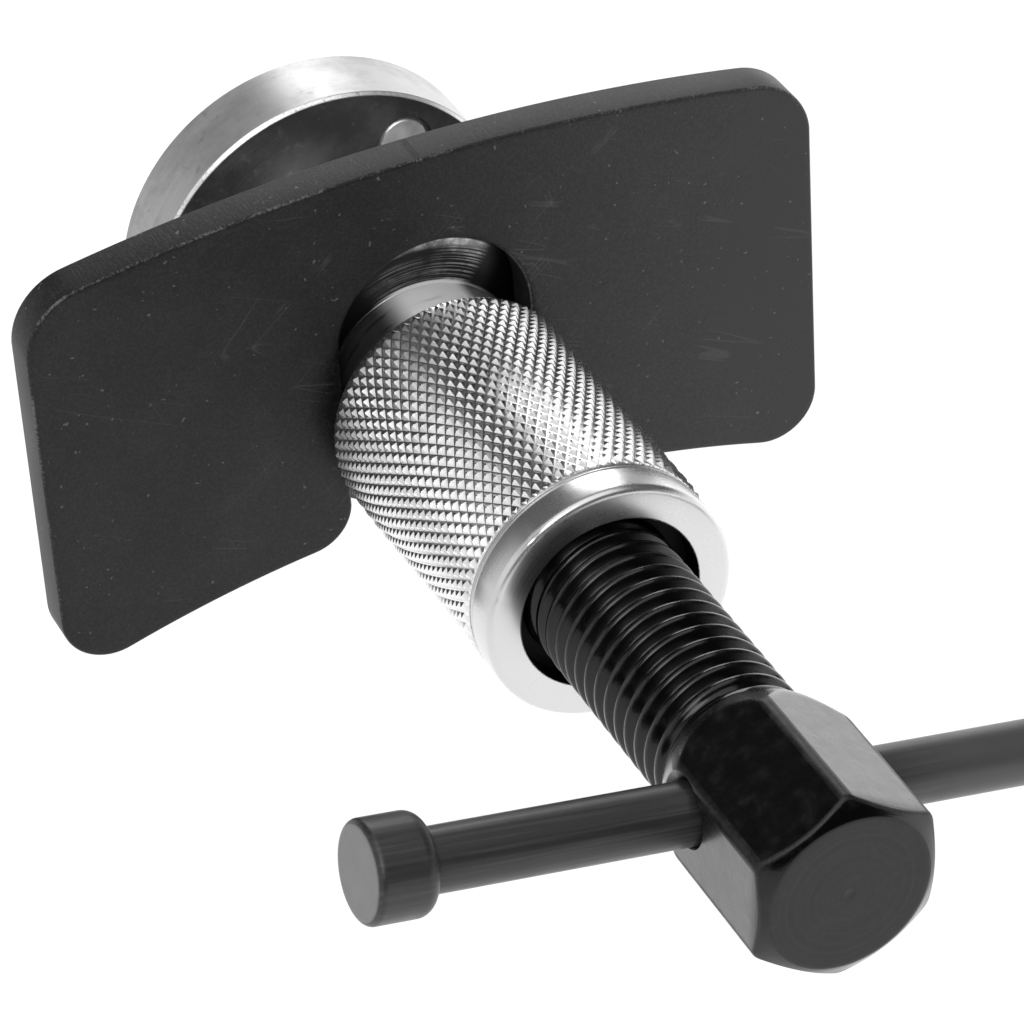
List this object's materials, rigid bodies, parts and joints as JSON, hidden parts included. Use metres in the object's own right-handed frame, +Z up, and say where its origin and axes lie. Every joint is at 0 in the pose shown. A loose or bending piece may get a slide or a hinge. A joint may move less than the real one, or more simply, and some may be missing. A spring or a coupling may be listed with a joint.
{
  "type": "brake caliper piston tool",
  "caption": "Screw tool that winds a disc-brake caliper piston back: knurled nut with a slotted reaction plate, threaded spindle with hexagon head and tommy bar, and a pinned adaptor disc.",
  "frame": {"origin": "centre of the adaptor disc's working face, on the tool's axis", "axes": "+Y along the tool's axis, out of the disc's working face; +Z up, the way the reaction plate lifts off; +X to the right seen from the handle"},
  "size_m": [0.1118, 0.1547, 0.0594],
  "materials": {
    "plated_steel": "bright nickel-plated, knurled grip and polished collar",
    "black_plate": "matte black oxide with fine scratches",
    "black_screw": "oiled black oxide, satin",
    "black_bar": "satin black oxide",
    "bare_steel": "turned bare steel",
    "magnet_nickel": "nickel-plated magnet",
    "zinc_steel": "dull zinc-plated turned steel"
  },
  "bodies": {
    "nut": {"thrust_nut": "plated_steel"},
    "plate": {"reaction_plate": "black_plate"},
    "washer": {"stop_washer": "bare_steel"},
    "screw": {"spindle": "black_screw", "drive_head": "bare_steel", "head_pin": "bare_steel", "magnet": "magnet_nickel", "drive_peg_left": "bare_steel", "drive_peg_right": "bare_steel"},
    "bar": {"tommy_bar": "black_bar", "bar_knob_left": "black_bar", "bar_knob_right": "black_bar"},
    "adaptor": {"adaptor_disc": "zinc_steel", "piston_pin_upper": "bare_steel", "piston_pin_lower": "bare_steel"}
  },
  "joints": [
    {"name": "plate_lift", "type": "slide", "parent": "nut", "child": "plate", "axis": [0, 0, 1], "range_m": [-0.0096, 0.036]},
    {"name": "spindle_feed", "type": "slide", "parent": "nut", "child": "washer", "axis": [0, 1, 0], "range_m": [-0.007, 0.032]},
    {"name": "spindle_turn", "type": "hinge", "parent": "washer", "child": "screw", "pos_m": [0, -0.0237, 0], "axis": [0, 1, 0], "range_deg": [-990, 4530]},
    {"name": "bar_slide", "type": "slide", "parent": "screw", "child": "bar", "axis": [0.9823, 0, -0.1874], "range_m": [-0.0408, 0.0302]},
    {"name": "adaptor_pull", "type": "slide", "parent": "screw", "child": "adaptor", "axis": [0, 1, 0], "range_m": [0, 0.02]}
  ],
  "couplings": [
    {"joint": "spindle_feed", "follows": "spindle_turn", "m_per_rad": 0.00040425}
  ]
}
